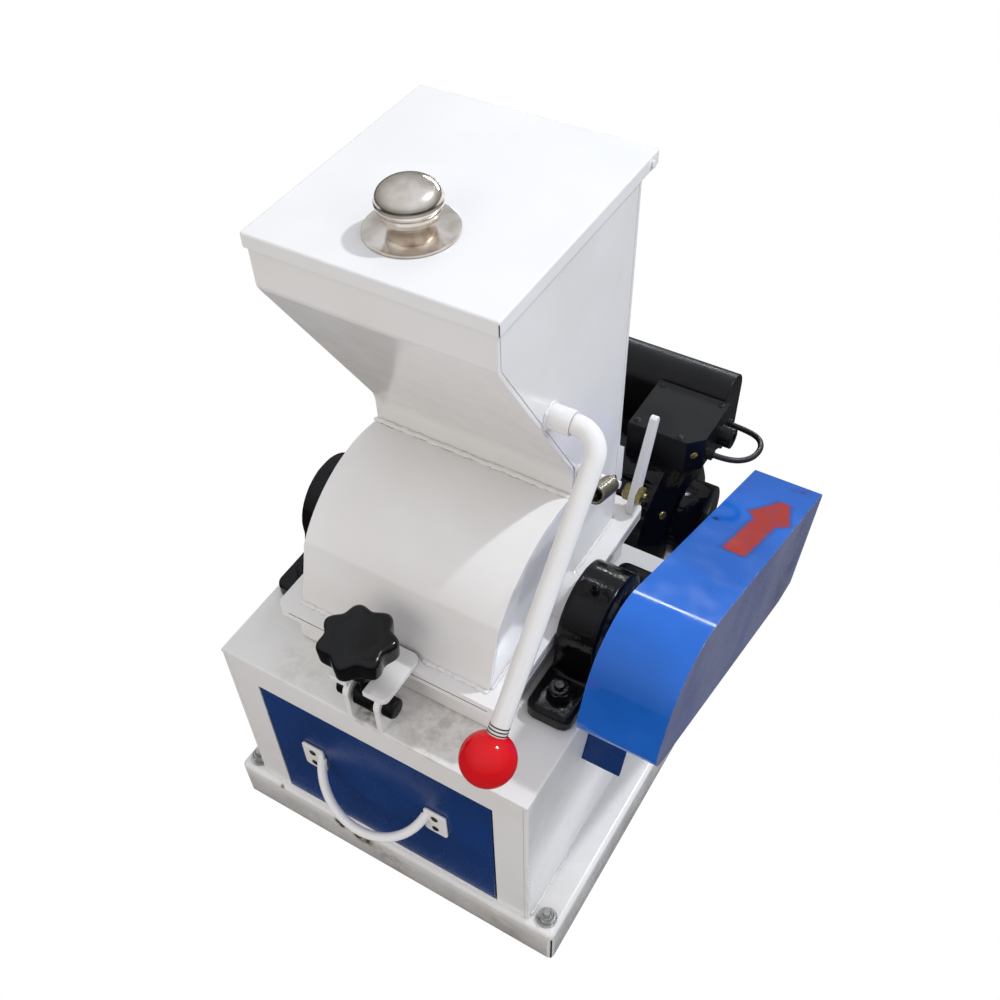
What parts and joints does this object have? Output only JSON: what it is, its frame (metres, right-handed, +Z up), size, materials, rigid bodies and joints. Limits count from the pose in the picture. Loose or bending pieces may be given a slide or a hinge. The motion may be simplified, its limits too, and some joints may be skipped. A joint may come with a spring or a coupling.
{
  "type": "laboratory hammer crusher",
  "caption": "Bench hammer crusher with a lidded feed hopper, split crushing chamber, lever gate, drawer, guarded belt drive and rear motor on a folded base tray.",
  "frame": {"origin": "on the floor, on the underside of the base tray's front lip, midway across the cabinet and directly below the cabinet's front face", "axes": "+Z up, +Y to the rear, +X to the right seen from the drawer"},
  "size_m": [0.383, 0.4675, 0.644],
  "materials": {
    "white_enamel": "warm white gloss enamel on steel sheet, brushed and sprayed over welds",
    "lid_white": "cool white gloss enamel on steel sheet",
    "drawer_blue": "deep blue gloss enamel",
    "guard_blue": "mid blue gloss enamel with a sprayed red arrow",
    "black_enamel": "cast iron under black gloss enamel",
    "motor_black": "satin black enamel",
    "zinc": "zinc plated steel",
    "bare_steel": "plain mild steel",
    "spring_steel": "dull nickel plated spring wire",
    "polished_steel": "polished stainless steel",
    "cast_iron": "grey cast iron",
    "black_plastic": "black moulded plastic",
    "red_plastic": "red moulded plastic",
    "belt_rubber": "rubber V-belts",
    "cable_black": "black cable sheath"
  },
  "bodies": {
    "frame": {"base_tray": "white_enamel", "mounting_bolts": "zinc", "cabinet_front": "white_enamel", "cabinet_right_side": "white_enamel", "cabinet_left_side": "white_enamel", "cabinet_rear": "white_enamel", "cabinet_top": "white_enamel", "drawer_runners": "bare_steel", "lower_housing": "white_enamel", "grate": "bare_steel", "upper_flange": "white_enamel", "drum_cover": "white_enamel", "hopper_front": "white_enamel", "hopper_rear": "white_enamel", "chamber_right_side": "white_enamel", "chamber_left_side": "white_enamel", "rear_bars": "white_enamel", "right_bearing": "black_enamel", "left_bearing": "black_enamel", "drive_belts": "belt_rubber", "belt_guard": "guard_blue", "guard_leg": "drawer_blue", "motor_body": "motor_black", "motor_feet": "motor_black", "motor_fan_cowl": "motor_black", "motor_stand": "motor_black", "terminal_box": "motor_black", "capacitor_cover": "motor_black", "capacitor_lead": "cable_black", "side_bosses": "white_enamel", "gate_spring": "spring_steel", "fork_tab": "white_enamel", "clamp_ears": "white_enamel"},
    "drawer": {"drawer_front": "drawer_blue", "drawer_tray": "bare_steel", "drawer_handle": "white_enamel"},
    "rotor_assembly": {"rotor": "bare_steel", "hammers": "cast_iron", "rotor_pulley": "cast_iron"},
    "motor_rotor": {"motor_pulley": "cast_iron"},
    "hopper_lid": {"lid": "lid_white", "lid_knob": "polished_steel"},
    "gate_lever": {"lever_rod": "white_enamel", "lever_ball": "red_plastic", "gate_flap": "bare_steel"},
    "clamp_bolt": {"swing_bolt": "zinc"},
    "clamp_knob": {"star_knob": "black_plastic"}
  },
  "joints": [
    {"name": "lid_hinge", "type": "hinge", "parent": "frame", "child": "hopper_lid", "pos_m": [0, 0.253, 0.6015], "axis": [-1, 0, 0], "range_deg": [0, 100]},
    {"name": "drawer_slide", "type": "slide", "parent": "frame", "child": "drawer", "axis": [0, -1, 0], "range_m": [0, 0.2]},
    {"name": "gate_lever_turn", "type": "hinge", "parent": "frame", "child": "gate_lever", "pos_m": [0, 0.132, 0.494], "axis": [-1, 0, 0], "range_deg": [0, 55], "stiffness_Nm_per_rad": 2, "springref_deg": -22.92, "deforming": ["gate_spring"]},
    {"name": "clamp_swing", "type": "hinge", "parent": "frame", "child": "clamp_bolt", "pos_m": [0, 0.011, 0.271], "axis": [1, 0, 0], "range_deg": [0, 95]},
    {"name": "star_knob_turn", "type": "hinge", "parent": "clamp_bolt", "child": "clamp_knob", "pos_m": [0, 0.011, 0.3], "axis": [0, 0, 1], "continuous": true},
    {"name": "rotor_spin", "type": "hinge", "parent": "frame", "child": "rotor_assembly", "pos_m": [0, 0.151, 0.289], "axis": [1, 0, 0], "continuous": true},
    {"name": "motor_spin", "type": "hinge", "parent": "frame", "child": "motor_rotor", "pos_m": [0, 0.339, 0.2165], "axis": [1, 0, 0], "continuous": true}
  ],
  "couplings": [
    {"joint": "motor_spin", "follows": "rotor_spin", "ratio": 0.9365}
  ]
}
